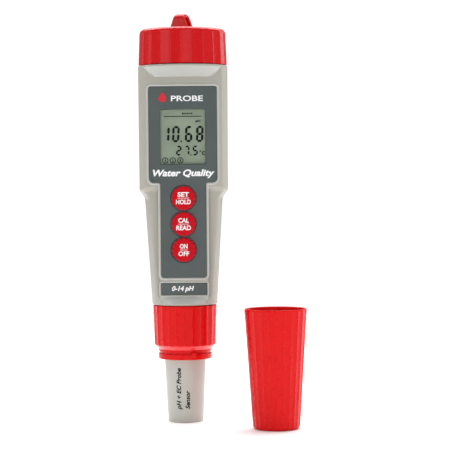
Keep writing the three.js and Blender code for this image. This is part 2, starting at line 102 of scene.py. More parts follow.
NECK = {"radius": 14.6, "bore": 12.9, "flange": 16.9, "seat": 150.05}
SPIGOT = {"radius": 10.4, "bore": 8.4, "flange": 11.8, "seat": 52.55}
THREAD_PITCH = 3.0


# ---- meshes
def spaced(low, high, steps):
    """Evenly spaced numbers after low, up to and including high."""
    return [low + (high - low) * step / steps for step in range(1, steps + 1)]


def new_object(name, data):
    obj = bpy.data.objects.new(name, data)
    bpy.context.scene.collection.objects.link(obj)
    return obj


def evaluated_mesh(obj):
    """A new mesh of an object as its modifiers or its text leave it."""
    graph = bpy.context.evaluated_depsgraph_get()
    return bpy.data.meshes.new_from_object(obj.evaluated_get(graph))


def add_mesh(name, points, faces, material, axis=PROBE):
    """A new object from points in millimetres about an axis."""
    mesh = bpy.data.meshes.new(name)
    placed = [((x + axis[0]) * MM, (y + axis[1]) * MM, z * MM) for x, y, z in points]
    mesh.from_pydata(placed, [], faces)
    mesh.materials.append(material)
    return new_object(name, mesh)


def loft(rings, closed=False):
    """A skin through rings of equal length, each anticlockwise as seen from where the loft goes."""
    count = len(rings[0])
    points = [point for ring in rings for point in ring]
    faces = []
    spans = len(rings) if closed else len(rings) - 1
    for level in range(spans):
        low = level * count
        high = (level + 1) % len(rings) * count
        for step in range(count):
            after = (step + 1) % count
            faces.append((low + step, low + after, high + after, high + step))
    if not closed:
        last = (len(rings) - 1) * count
        faces.append(tuple(range(count - 1, -1, -1)))
        faces.append(tuple(range(last, last + count)))
    return points, faces


def combine(target, tool, operation):
    """Joins a tool to the target or cuts the target with it, and removes the tool."""
    modifier = target.modifiers.new("combine", "BOOLEAN")
    modifier.operation = operation
    modifier.solver = "MANIFOLD"
    modifier.object = tool
    made = evaluated_mesh(target)
    target.modifiers.clear()
    old = target.data
    target.data = made
    made.name = old.name
    bpy.data.meshes.remove(old)
    bpy.data.objects.remove(tool)
    return target


def cut(target, *tools):
    for tool in tools:
        combine(target, tool, "DIFFERENCE")
    return target


def join(target, *tools):
    for tool in tools:
        combine(target, tool, "UNION")
    return target


def settle(obj, body, slot, *nodes, crease=32):
    """Shades a finished piece, and says what it rides on and what it stands for. The slot is not used."""
    mesh = obj.data
    mesh.shade_smooth()
    mesh.set_sharp_from_angle(angle=math.radians(crease))
    even = obj.modifiers.new("even_normals", "WEIGHTED_NORMAL")
    even.keep_sharp = True
    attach(obj, body)
    if nodes:
        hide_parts(*nodes)
    return obj


def angles_round(sides):
    return [TURN * side / sides for side in range(sides)]


def around(reach, angle, z):
    return (reach * math.cos(angle), reach * math.sin(angle), z)


def circle(radius, z, sides=96):
    return [around(radius, angle, z) for angle in angles_round(sides)]


def turned(name, profile, material, sides=96, axis=PROBE, hollow=False):
    """A turned solid. The profile runs up the outside, and if hollow, down the inside."""
    rings = [circle(max(radius, 0.02), z, sides) for radius, z in profile]
    return add_mesh(name, *loft(rings, closed=hollow), material, axis)


def block(name, low, high, material):
    x0, y0, z0 = low
    x1, y1, z1 = high
    rings = [[(x0, y0, z), (x1, y0, z), (x1, y1, z), (x0, y1, z)] for z in (z0, z1)]
    return add_mesh(name, *loft(rings), material)


def slab(name, front, back, material):
    """A block wider and taller than the probe, between two depths, to cut with."""
    return block(name, (-30, front, 0), (30, back, 200), material)


def peg(name, levels, x, z, material, sides=64):
    """A round solid along Y. The levels are (y, radius), from the back to the front."""
    rings = [
        [(x + radius * math.cos(angle), y, z + radius * math.sin(angle)) for angle in angles_round(sides)]
        for y, radius in levels
    ]
    return add_mesh(name, *loft(rings), material)


def outline(corners, grow=0.0, steps=7):
    """A closed outline in X and Z, from right-angled corners (x, z, radius) given anticlockwise."""
    points = []
    for index, (x, z, radius) in enumerate(corners):
        before = Vector(corners[index - 1][:2])
        here = Vector((x, z))
        after = Vector(corners[(index + 1) % len(corners)][:2])
        arriving = (here - before).normalized()
        leaving = (after - here).normalized()
        out_1 = Vector((arriving.y, -arriving.x))
        out_2 = Vector((leaving.y, -leaving.x))
        convex = arriving.cross(leaving) > 0
        here = here + grow * (out_1 + out_2) / (1 + out_1.dot(out_2))
        radius = max(radius + (grow if convex else -grow), 0.05)
        start = here - arriving * radius
        centre = start - out_1 * radius if convex else start + out_1 * radius
        spoke_1 = start - centre
        spoke_2 = here + leaving * radius - centre
        for step in range(steps + 1):
            angle = math.pi / 2 * step / steps
            point = centre + spoke_1 * math.cos(angle) + spoke_2 * math.sin(angle)
            points.append((point.x, point.y))
    return points


def plate(name, levels, corners, material):
    """A solid with one outline at several depths. The levels are (y, growth), from back to front."""
    rings = [[(x, y, z) for x, z in outline(corners, grow)] for y, grow in levels]
    return add_mesh(name, *loft(rings), material)


def rectangle(x0, x1, z0, z1, radius):
    return [(x0, z0, radius), (x1, z0, radius), (x1, z1, radius), (x0, z1, radius)]


def paint_highlight_on_leaning_faces(obj, material, *bands):
    """A second, lighter material on leaning faces, as painted highlight. Each band is (low, high, the least
    that their normal leans).
    """
    obj.data.materials.append(material)
    for face in obj.data.polygons:
        for low, high, lean in bands:
            if low * MM < face.center.z < high * MM and abs(face.normal.z) > lean:
                face.material_index = 1


# ---- materials
def srgb(red, green, blue):
    """A colour given as 0 to 255 on a screen, as Blender's linear values."""
    def linear(value):
        share = value / 255
        return share / 12.92 if share <= 0.04045 else ((share + 0.055) / 1.055) ** 2.4
    return (linear(red), linear(green), linear(blue), 1.0)


def set_inputs(node, **values):
    """Sets inputs of a node by name, with an underscore for each space."""
    for name, value in values.items():
        node.inputs[name.replace("_", " ")].default_value = value


class Finish:
    """A Principled material and the few kinds of node that the finishes below are made of."""

    def __init__(self, name, roughness, **constants):
        self.material = bpy.data.materials.new(name)
        self.material.use_nodes = True
        self.tree = self.material.node_tree
        self.shader = self.tree.nodes["Principled BSDF"]
        set_inputs(self.shader, Roughness=roughness, **constants)
        self.place = self.node("TexCoord").outputs["Object"]

    def node(self, kind, **values):
        made = self.tree.nodes.new("ShaderNode" + kind)
        set_inputs(made, **values)
        return made

    def link(self, output, target):
        self.tree.links.new(output, target)
        return self

    def noise(self, size_mm, detail=2.0, stretch=(1, 1, 1)):
        """Cloudy noise with features of about the given size."""
        mapping = self.node("Mapping", Scale=stretch)
        texture = self.node("TexNoise", Scale=1 / (size_mm * MM), Detail=detail)
        self.link(self.place, mapping.inputs["Vector"])
        self.link(mapping.outputs["Vector"], texture.inputs["Vector"])
        return texture.outputs["Fac"]

    def between(self, factor, first, second):
        """A colour between two, by a factor."""
        mix = self.node("Mix")
        mix.data_type = "RGBA"
        mix.inputs[6].default_value = first
        mix.inputs[7].default_value = second
        self.link(factor, mix.inputs[0])
        return mix.outputs[2]

    def spread(self, factor, low, high):
        """A number between low and high, by a factor from 0.35 to 0.65."""
        spread = self.node("MapRange", From_Min=0.35, From_Max=0.65, To_Min=low, To_Max=high)
        self.link(factor, spread.inputs["Value"])
        return spread.outputs["Result"]

    def bump(self, height, depth_mm):
        bump = self.node("Bump", Distance=depth_mm * MM)
        self.link(height, bump.inputs["Height"])
        return self.link(bump.outputs["Normal"], self.shader.inputs["Normal"])

    def colour(self, output):
        return self.link(output, self.shader.inputs["Base Color"])

    def rough(self, output):
        return self.link(output, self.shader.inputs["Roughness"])

    def clouds(self, size_mm, first, second, detail=2.0):
        """A base colour that drifts between two, in clouds of about the given size."""
        return self.colour(self.between(self.spread(self.noise(size_mm, detail), 0, 1), first, second))


def tinted(colour, factor):
    return tuple(min(1.0, channel * factor) for channel in colour[:3]) + (1.0,)


def moulded(name, colour, roughness, grain_mm=0.35, grain_depth=0.012, mottle=0.015, **constants):
    """Injection-moulded plastic: fine spark-eroded grain, faint clouding and uneven gloss."""
    finish = Finish(name, roughness, **constants)
    finish.clouds(9, tinted(colour, 1 - mottle), tinted(colour, 1 + mottle), detail=3)
    finish.rough(finish.spread(finish.noise(2.5), roughness - 0.02, roughness + 0.03))
    finish.bump(finish.noise(grain_mm, detail=1.5), grain_depth)
    return finish.material


def printed_film(name, colour):
    """Satin screen-printed film, with the fine tooth of its embossed top coat."""
    finish = Finish(name, 0.42)
    finish.clouds(14, tinted(colour, 0.93), tinted(colour, 1.06))
    finish.rough(finish.spread(finish.noise(5, detail=3), 0.36, 0.5))
    finish.bump(finish.noise(0.12, detail=1), 0.006)
    return finish.material


def brushed_metal(name, colour):
    """Plated metal with fine scratches along Z."""
    finish = Finish(name, 0.3, Metallic=1.0)
    scratches = finish.noise(0.12, stretch=(1, 1, 0.04))
    finish.colour(finish.between(scratches, tinted(colour, 0.85), tinted(colour, 1.1)))
    finish.rough(finish.spread(scratches, 0.22, 0.42))
    finish.bump(scratches, 0.004)
    return finish.material


def porous(name, colour, cell_mm, depth_mm):
    """A surface of small pores, such as ceramic or open-cell sponge."""
    finish = Finish(name, 0.9)
    cells = finish.node("TexVoronoi", Scale=1 / (cell_mm * MM))
    finish.link(finish.place, cells.inputs["Vector"])
    # The pits of the pores are painted darker where the bump sinks them: painted shade in the pores.
    finish.colour(finish.between(cells.outputs["Distance"], tinted(colour, 0.6), colour))
    finish.bump(cells.outputs["Distance"], depth_mm)
    return finish.material


def board_finish():
    """Green solder mask with lighter copper tracks under it."""
    finish = Finish("solder_mask", 0.35)
    tracks = finish.node("TexBrick", Scale=1 / (9 * MM), Mortar_Size=0.03, Mortar=srgb(72, 138, 84),
                         Color1=srgb(22, 92, 48), Color2=srgb(18, 78, 42))
    turned_place = finish.node("Mapping", Rotation=(math.pi / 2, 0, 0))
    finish.link(finish.place, turned_place.inputs["Vector"])
    finish.link(turned_place.outputs["Vector"], tracks.inputs["Vector"])
    finish.colour(tracks.outputs["Color"])
    finish.bump(tracks.outputs["Fac"], 0.03)
    return finish.material


def display_finish():
    """The grey-green reflective film of a liquid-crystal display."""
    finish = Finish("display_film", 0.5)
    finish.clouds(11, srgb(156, 171, 149), srgb(170, 184, 162))
    finish.bump(finish.noise(0.1, detail=1), 0.003)
    return finish.material


def clear_finish(name, colour, alpha, roughness):
    finish = Finish(name, roughness, Alpha=alpha)
    finish.clouds(8, tinted(colour, 0.95), colour)
    finish.rough(finish.spread(finish.noise(3, detail=3), roughness, roughness + 0.05))
    return finish.material


def floor_finish():
    finish = Finish("studio_floor", 0.75)
    finish.clouds(60, srgb(248, 248, 248), srgb(252, 252, 252))
    return finish.material


GREY_SHELL = moulded("grey_shell_plastic", srgb(172, 170, 160), 0.42, grain_depth=0.006,
                     Specular_IOR_Level=0.4)
# A lighter copy of the grey shell: painted highlight on the brow, the scoop and the beads round the pockets.
GREY_PAINTED_HIGHLIGHT = moulded("grey_painted_highlight", srgb(187, 188, 183), 0.35, grain_depth=0.001)
LIGHT_GREY = moulded("light_grey_plastic", srgb(187, 188, 180), 0.4, grain_depth=0.004)
# The same red plastic as the collar and the cap, painted darker: painted shade on the battery cap and its
# loop.
RED_PAINTED_SHADE = moulded("red_plastic", srgb(204, 14, 20), 0.25, grain_depth=0.001, Specular_IOR_Level=0.35)
BRIGHT_RED = moulded("bright_red_plastic", srgb(219, 14, 15), 0.28, grain_depth=0.001,
                     Specular_IOR_Level=0.14)
# A lighter copy of the bright red: painted highlight on the collar's downward-facing chamfer.
RED_PAINTED_HIGHLIGHT = moulded("red_painted_highlight", srgb(236, 58, 60), 0.2, grain_depth=0.0005)
KEY_RED = moulded("red_silicone", srgb(196, 2, 24), 0.6, grain_depth=0.003, Specular_IOR_Level=0.15)
WHITE_INK = moulded("white_ink", srgb(246, 246, 246), 0.5, grain_mm=0.1, grain_depth=0.003, mottle=0.01)
BLACK_INK = moulded("black_ink", srgb(10, 11, 10), 0.6, grain_mm=0.1, grain_depth=0.003,
                    Specular_IOR_Level=0.2)
RED_INK = moulded("red_ink", srgb(214, 24, 44), 0.5, grain_mm=0.1, grain_depth=0.003)
LIQUID_CRYSTAL = moulded("liquid_crystal", srgb(8, 20, 18), 0.6, grain_mm=0.1, grain_depth=0.002,
                         Specular_IOR_Level=0.1)
BLACK_PLASTIC = moulded("black_plastic", srgb(32, 34, 36), 0.5)
RUBBER = moulded("black_rubber", srgb(36, 36, 38), 0.75, grain_mm=0.25, grain_depth=0.02)
RIBBON = moulded("flex_ribbon", srgb(222, 218, 204), 0.45, grain_depth=0.004)
DARK_PANEL = printed_film("dark_printed_film", srgb(78, 87, 86))
STEEL = brushed_metal("nickel_plate", srgb(200, 202, 204))
SPONGE = porous("yellow_sponge", srgb(228, 206, 124), 0.9, 0.35)
CERAMIC = porous("porous_ceramic", srgb(230, 226, 214), 0.25, 0.05)
SOLDER_MASK = board_finish()
DISPLAY_FILM = display_finish()
CLEAR_LENS = clear_finish("clear_lens", srgb(40, 52, 44), 0.10, 0.05)
BULB_GLASS = clear_finish("bulb_glass", srgb(206, 220, 224), 0.45, 0.06)


# ---- housing
def ramp(value, softness):
    """Zero below 0 and value above it, rounded over the softness on either side."""
    if value <= -softness:
        return 0.0
    if value >= softness:
        return value
    return (value + softness) ** 2 / (4 * softness)


def body_radius(z):
    """The round back of the housing: a slow taper, a short shoulder and a nearly straight head."""
    grip = (WAIST_RADIUS - BOTTOM_RADIUS) / (WAIST_LOW - BOTTOM)
    shoulder = (SHOULDER_RADIUS - WAIST_RADIUS) / (WAIST_HIGH - WAIST_LOW)
    head = (TOP_RADIUS - SHOULDER_RADIUS) / (TOP - WAIST_HIGH)
    lower_bend = (shoulder - grip) * ramp(z - WAIST_LOW, 1.2)
    upper_bend = (head - shoulder) * ramp(z - WAIST_HIGH, 0.8)
    return BOTTOM_RADIUS + grip * (z - BOTTOM) + lower_bend + upper_bend


def flat_depth(z):
    """From the axis to the flat front, which steps forward at the shoulder."""
    slope = (FACE - SIDE_FACE) / (STEP_HIGH - STEP_LOW)
    return SIDE_FACE + slope * (ramp(z - STEP_LOW, 0.35) - ramp(z - STEP_HIGH, 0.25))


def share_between(value, start, end):
    return min(1.0, max(0.0, (value - start) / (end - start)))


def spoke(reach, bearing):
    """A point at a distance and a bearing from the axis, where bearing 0 is the middle of the front."""
    return reach * Vector((math.sin(bearing), -math.cos(bearing)))


SEAM = math.pi / 2
SEAM_GROOVE = math.radians(0.7)
SEAM_DEPTH = 0.22


def housing_half(z, radius):
    """Half of the housing's outline at a height, from the middle of the front to the middle of the back.

    The flat front meets the round back at a small corner. It leans out to a round edge at the brow,
    as a ruled surface, and at the scoop, as a straight push forward.
    """
    depth = flat_depth(z)
    brow = share_between(z, BROW_LOW, RIM)
    scoop = share_between(z, SCOOP_HIGH, SCOOP_LOW)
    corner = 1.3 * (1 - max(brow, scoop)) + 0.04
    corner_x = math.sqrt((radius - corner) ** 2 - (depth - corner) ** 2)
    half = min(BROW_HALF, 0.88 * corner_x)
    spread = math.asin(corner_x / radius)

    def pushed(x):
        return -depth - scoop * (math.sqrt(radius ** 2 - x ** 2) - depth)

    points = []
    for share in (step / 16 for step in range(17)):
        straight = Vector((share * half, pushed(share * half)))
        points.append(straight.lerp(spoke(radius, spread * share), brow))
    for x in spaced(points[-1].x, corner_x, 4)[:-1]:
        points.append(Vector((x, pushed(x))))
    corner_turn = math.atan2(corner_x, depth - corner)
    for share in (step / 5 for step in range(6)):
        push = (pushed(corner_x) + depth) * (1 - share)
        points.append(Vector((corner_x, -depth + corner + push)) + spoke(corner, corner_turn * share))
    points += [spoke(radius, bearing) for bearing in spaced(corner_turn, SEAM - SEAM_GROOVE, 8)]
    points += [spoke(radius - SEAM_DEPTH, SEAM), spoke(radius, SEAM + SEAM_GROOVE)]
    points += [spoke(radius, bearing) for bearing in spaced(SEAM + SEAM_GROOVE, math.pi, 26)]
    return points


def housing_ring(shape_z, z, inset=0.0):
    """A ring of the housing at a height, with the outline of another height, drawn in by an inset."""
    radius = body_radius(shape_z)
    half = [point * (1 - inset / radius) for point in housing_half(shape_z, radius)]
    right = [(point.x, point.y, z) for point in half]
    left = [(-point.x, point.y, z) for point in reversed(half[1:-1])]
    return right + left


def housing_heights():
    """Heights of the rings, close together where the outline changes quickly."""
    waist_start, waist_end = 94.6, 101.2
    heights = [SCOOP_LOW] + spaced(SCOOP_LOW, SCOOP_HIGH, 6) + spaced(SCOOP_HIGH, waist_start, 10)
    heights += spaced(waist_start, waist_end, 24) + spaced(waist_end, BROW_LOW, 10)
    return heights + spaced(BROW_LOW, RIM, 8)


def housing_skin():
    rings = [
        housing_ring(SCOOP_LOW, BOTTOM, inset=0.25),
        housing_ring(SCOOP_LOW, BOTTOM + 0.25),
        housing_ring(SCOOP_LOW, SCOOP_LOW - 0.05),
    ]
    rings += [housing_ring(z, z) for z in housing_heights()]
    rings += [
        housing_ring(RIM, RIM + 0.05),
        housing_ring(RIM, TOP - 0.25),
        housing_ring(RIM, TOP, inset=0.25),
    ]
    return add_mesh("front_shell", *loft(rings), GREY_SHELL)


def tongue():
    """The raised strip that carries the keys, leaning out to the rim at its lower end."""
    round_edge, back = 0.12, -4
    rings = []
    for z in [SCOOP_LOW] + spaced(SCOOP_LOW, SCOOP_HIGH, 6) + [STEP_HIGH + 0.6]:
        radius = body_radius(z) - 0.02
        scoop = share_between(z, SCOOP_HIGH, SCOOP_LOW)
        half = min(TONGUE_HALF, math.sqrt(radius ** 2 - FACE ** 2))
        front = []
        for step in range(21):
            x = half * (step / 10 - 1)
            depth = FACE - 0.004 + scoop * (math.sqrt(radius ** 2 - x ** 2) - FACE)
            front.append((x, -depth, z))
        side = half + round_edge
        left, right = (-side, front[0][1] + 0.16, z), (side, front[-1][1] + 0.16, z)
        rings.append([left, *front, right, (side, back, z), (-side, back, z)])
    return add_mesh("tongue", *loft(rings), GREY_SHELL)


def cavity():
    """The inside of the housing, with shallow bays behind the keys and the display."""
    low, high = BOTTOM + WALL, TOP - WALL - GAP
    profile = [(body_radius(z) - WALL, z) for z in (low, WAIST_LOW, WAIST_HIGH, high)]
    inside = turned("cavity", profile, GREY_SHELL, sides=64)
    front = turned("front_wall", profile, GREY_SHELL, sides=64)
    face_back = -(FACE - 2.1)
    bay_top = BROW_LOW - WALL
    cut(front, slab("behind_sides", WALL - SIDE_FACE, 40, GREY_SHELL))
    for name, bay_low, bay_high in (
        ("behind_keys", (-8.4, face_back, SCOOP_HIGH + WALL), (8.4, 0, bay_top)),
        ("behind_display", (-30, face_back, STEP_HIGH + WALL), (30, 0, bay_top - 0.01)),
    ):
        cut(front, block(name, bay_low, bay_high, GREY_SHELL))
    return cut(inside, front)


OVERLAY_HALF = (overlay_high.x - overlay_low.x) / 2
KEYPAD_HALF = 9.6
NOTCH = 102.7
LENS_HALF = (lens_high.x - lens_low.x) / 2 + GAP
OVERLAY_CORNERS = [
    (-KEYPAD_HALF, overlay_low.z, 1.2),
    (KEYPAD_HALF, overlay_low.z, 1.2),
    (KEYPAD_HALF, NOTCH, 0.9),
    (OVERLAY_HALF, NOTCH, 1.9),
    (OVERLAY_HALF, overlay_high.z, 0.9),
    (-OVERLAY_HALF, overlay_high.z, 0.9),
    (-OVERLAY_HALF, NOTCH, 1.9),
    (-KEYPAD_HALF, NOTCH, 0.9),
]
WINDOW_CORNERS = rectangle(-LENS_HALF, LENS_HALF, lens_low.z - GAP, lens_high.z + GAP, 0.5)
LABEL_HALF = (label_high.x - label_low.x) / 2
LABEL_CORNERS = rectangle(-LABEL_HALF, LABEL_HALF, label_low.z, label_high.z, 0.35)
POCKET = 0.8
KEY_RADIUS = 5.26
KEY_BODY_RADIUS = 4.65


def housing():
    skin = join(housing_skin(), tongue())
    cut(skin, cavity())
    neck_hole = NECK["radius"] + GAP
    spigot_hole = SPIGOT["radius"] + GAP
    cut(skin, turned("neck_hole", [(neck_hole, NECK["seat"]), (neck_hole, TOP + 4)], GREY_SHELL))
    cut(skin, turned("spigot_hole", [(spigot_hole, BOTTOM - 4), (spigot_hole, SPIGOT["seat"])], GREY_SHELL))
    floor = -FACE + POCKET
    pocket_levels = [(floor, 0.12), (-FACE + 0.12, 0.12), (-FACE - 0.5, 0.35)]
    cut(skin, plate("overlay_pocket", pocket_levels, OVERLAY_CORNERS, GREY_SHELL))
    cut(skin, plate("label_pocket", pocket_levels, LABEL_CORNERS, GREY_SHELL))
    through = [(-4, 0), (floor - 1, 0)]
    cut(skin, plate("window_hole", through, WINDOW_CORNERS, GREY_SHELL))
    for z in KEY_HEIGHTS.values():
        hole = KEY_RADIUS + GAP
        cut(skin, peg("key_hole", [(-4, hole), (floor - 1, hole)], 0, z, GREY_SHELL))
    # The brow and the scoop get the lighter grey: painted highlight on these leaning faces.
    paint_highlight_on_leaning_faces(skin, GREY_PAINTED_HIGHLIGHT, (BROW_LOW, RIM, 0.5), (SCOOP_LOW, SCOOP_HIGH, 0.12))
    rear = new_object("rear_shell", skin.data.copy())
    half_seam = 0.02
    cut(skin, slab("behind_seam", -half_seam, 40, GREY_SHELL))
    cut(rear, slab("before_seam", -40, half_seam, GREY_SHELL))
    settle(skin, "housing", "grey_housing", "front_housing")
    settle(rear, "housing", "grey_housing", "rear_housing")


def raised_lip(name, corners, width=0.85, height=0.24):
    """A thin bead round a pocket in the face, in the lighter grey of painted highlight."""
    start = 0.3
    section = [
        (start + width * share, -FACE - height * math.sin(math.pi * share))
        for share in (step / 6 for step in range(7))
    ]
    section += [(start + width, -FACE + 0.3), (start, -FACE + 0.3)]
    rings = [[(x, y, z) for x, z in outline(corners, grow)] for grow, y in reversed(section)]
    lip = add_mesh(name, *loft(rings, closed=True), GREY_PAINTED_HIGHLIGHT)
    return settle(lip, "housing", "grey_housing", crease=60)


# ---- threaded inserts
def threaded_ring(angles, radius, z, thread_low, turns):
    """One ring of a threaded tube, whose rounded ridge climbs one pitch in each turn."""
    ring = []
    for angle in angles:
        climbed = z - thread_low - THREAD_PITCH * angle / TURN
        turn_here = round(climbed / THREAD_PITCH)
        away = abs(climbed - turn_here * THREAD_PITCH)
        wound = turn_here + angle / TURN
        fade = min(1, max(0, wound * 6)) * min(1, max(0, (turns - wound) * 6))
        ridge = 0.95 * fade * max(0, 1 - (away / 0.85) ** 2)
        ring.append(around(radius + ridge, angle, z))
    return ring


def threaded_insert(name, size, low, high, flange_low, flange_high, thread_low, node):
    """A threaded tube with a flange that the two shells hold."""
    sides = 96
    levels = math.ceil((high - low) / 0.2)
    tube = []
    for level in range(levels + 1):
        z = low + (high - low) * level / levels
        edge = 0.3 if level in (0, levels) else 0.0
        tube.append(threaded_ring(angles_round(sides), size["radius"] - edge, z, thread_low, 2))
    inner = [circle(size["bore"], z, sides) for z in (high, low)]
    piece = add_mesh(name, *loft(tube + inner, closed=True), GREY_SHELL)
    flange_profile = [
        (size["flange"], flange_low),
        (size["flange"], flange_high),
        (size["bore"] + 0.01, flange_high),
        (size["bore"] + 0.01, flange_low),
    ]
    flange = turned("flange", flange_profile, GREY_SHELL, hollow=True)
    cut(flange, slab("key_flat", -40, WALL + GAP - SIDE_FACE, GREY_SHELL))
    join(piece, flange)
    if node == "neck_insert":
        tray_low, tray_high = node_box("battery_tray")
        well_axis = (PROBE[0], (tray_low.y + tray_high.y) / 2)
        well = [(7.2, flange_low - 1), (7.2, flange_high - 0.05)]
        cut(piece, turned("battery_well", well, GREY_SHELL, axis=well_axis))
    return settle(piece, "housing", "grey_housing", node)


# ---- face, display and keys
def lettering(name, text, width, height, x, z, front, material, slant=0.25, weight=0.03, raise_mm=0.06):
    """Letters on the face, fitted to a width and a height about a middle point."""
    curve = bpy.data.curves.new(name, "FONT")
    curve.body = text
    curve.shear = slant
    curve.offset = weight
    curve.resolution_u = 4
    curve.extrude = 0.02
    writing = new_object(name + "_curve", curve)
    mesh = evaluated_mesh(writing)
    bpy.data.objects.remove(writing)
    bpy.data.curves.remove(curve)

    def fitted(values, length, middle):
        scale = length / (max(values) - min(values))
        return [middle + (value - (max(values) + min(values)) / 2) * scale for value in values]

    across = fitted([vertex.co.x for vertex in mesh.vertices], width, x)
    up = fitted([vertex.co.y for vertex in mesh.vertices], height, z)
    depths = [front - raise_mm if vertex.co.z > 0 else front + raise_mm / 2 for vertex in mesh.vertices]
    faces = [tuple(face.vertices) for face in mesh.polygons]
    bpy.data.meshes.remove(mesh)
    letters = add_mesh(name, list(zip(across, depths, up)), faces, material)
    weld(letters)
    return letters


def weld(obj, distance_mm=0.002):
    """Merges the doubled corners that text leaves, so that each letter is one closed body."""
    shape = bmesh.new()
    shape.from_mesh(obj.data)
    bmesh.ops.remove_doubles(shape, verts=shape.verts, dist=distance_mm * MM)
    bmesh.ops.dissolve_degenerate(shape, dist=distance_mm * MM / 4, edges=shape.edges)
    bmesh.ops.recalc_face_normals(shape, faces=shape.faces)
    shape.to_mesh(obj.data)
    shape.free()


def overlay_film():
    film_levels = [(-FACE + 0.5, -0.02), (-FACE + 0.08, 0), (-FACE, -0.08)]
    film = plate("overlay_film", film_levels, OVERLAY_CORNERS, DARK_PANEL)
    window_levels = [(-FACE + 2, 0), (-FACE + 0.1, 0), (-FACE - 0.2, 0.25)]
    cut(film, plate("window_cut", window_levels, WINDOW_CORNERS, DARK_PANEL))
    hole = KEY_BODY_RADIUS + 0.15
    dish = KEY_RADIUS + 0.2
    dish_depth = 0.42
    key_levels = [(-FACE + 2, hole), (-FACE + dish_depth + 0.01, hole), (-FACE + dish_depth, dish)]
    key_levels.append((-FACE - 0.2, dish + 0.25))
    for z in KEY_HEIGHTS.values():
        cut(film, peg("key_cut", key_levels, 0, z, DARK_PANEL))
    settle(film, "housing", "dark_panel", "overlay_panel")
    label = plate("label_film", film_levels, LABEL_CORNERS, DARK_PANEL)
    settle(label, "housing", "dark_panel", "label_plate")


def droplet(name, x, z, size, material):
    """A plain water drop, printed on the overlay."""
    ring = []
    steps = 40
    for step in range(steps, 0, -1):
        angle = TURN * step / steps
        narrow = 1.1 * math.sin(angle / 2) ** 1.5
        ring.append((x + 0.5 * size * math.sin(angle) * narrow, z + 0.5 * size * math.cos(angle)))
    rings = [[(across, y, up) for across, up in ring] for y in (-FACE + 0.05, -FACE - 0.06)]
    return add_mesh(name, *loft(rings), material)


def printed_words():
    for name, text, width, height, x, z, slant, weight in (
        ("word_probe", "PROBE", 13.6, 2.4, 1.9, 138.3, 0, 0.02),
        ("title_words", "Water Quality", 26.2, 3.8, 0.25, 106.3, 0.25, 0.035),
        ("label_words", "0-14 pH", 9.4, 2.8, -0.5, 57.3, 0.25, 0.04),
    ):
        words = lettering(name, text, width, height, x, z, -FACE, WHITE_INK, slant, weight)
        settle(words, "housing", "dark_panel")
    settle(droplet("droplet_mark", -8.6, 139.0, 4.3, RED_INK), "housing", "dark_panel")


DISPLAY_FRONT = -FACE + 1.3
SEGMENTS = {
    "0": "abcdef", "1": "bc", "2": "abged", "5": "afgcd", "6": "afgcde", "7": "abc", "8": "abcdefg",
}


def segment_marks(digit, x, z, width, height, stroke, slant=0.05):
    """The lit segments of one digit, as six-sided bars, from its lower left corner."""
    half = stroke / 2
    gap = stroke * 0.08

    def bar(at, start, end, upright):
        start, end = start + gap, end - gap
        near, far = start + half, end - half
        corners = [(start, 0), (near, -half), (far, -half), (end, 0), (far, half), (near, half)]
        return [(at - aside, along) if upright else (along, at + aside) for along, aside in corners]

    left, right, low, middle, high = half, width - half, half, height / 2, height - half
    bars = {
        "a": (high, left, right, False), "g": (middle, left, right, False), "d": (low, left, right, False),
        "f": (left, middle, high, True), "b": (right, middle, high, True),
        "e": (left, low, middle, True), "c": (right, low, middle, True),
    }
    return [
        [(x + px + slant * pz, z + pz) for px, pz in bar(*bars[letter])] for letter in SEGMENTS[digit]
    ]


def ring_marks(x, z, radius, stroke, sides=28):
    """A thin circle, as short bars."""
    def point(reach, side):
        angle = TURN * side / sides
        return (x + reach * math.cos(angle), z + reach * math.sin(angle))

    inside = radius - stroke
    return [
        [point(inside, side), point(radius, side), point(radius, side + 1), point(inside, side + 1)]
        for side in range(sides)
    ]


def box_mark(x0, x1, z0, z1):
    return [(x0, z0), (x1, z0), (x1, z1), (x0, z1)]


def display_marks():
    """Every dark mark on the display: reading, temperature, unit line and the small icons."""
    left, low = -LENS_HALF, lens_low.z - GAP
    marks = []
    for digit, start in (("1", 0.7), ("0", 4.95), ("6", 10.4), ("8", 15.1)):
        marks += segment_marks(digit, left + start, low + 9.45, 3.15, 6.9, 1.0)
    marks.append(box_mark(left + 8.6, left + 9.25, low + 9.5, low + 10.2))
    for digit, start in (("2", 6.6), ("7", 10.0), ("5", 13.6)):
        marks += segment_marks(digit, left + start, low + 3.75, 2.35, 4.25, 0.76)
    marks.append(box_mark(left + 12.75, left + 13.25, low + 3.8, low + 4.3))
    marks += ring_marks(left + 17.05, low + 5.6, 0.4, 0.24, sides=16)
    for index in range(3):
        marks += ring_marks(left + 2.1 + 3.2 * index, low + 1.75, 1.32, 0.36)
    marks.append(box_mark(left + 1.7, left + 17.6, low + 20.25, low + 20.6))
    for index in range(5):
        start = left + 9.45 + 0.92 * index
        tall = 0.9 if index == 0 else 0.62
        marks.append(box_mark(start, start + 0.62, low + 21.6 - tall / 2, low + 21.6 + tall / 2))
    return marks


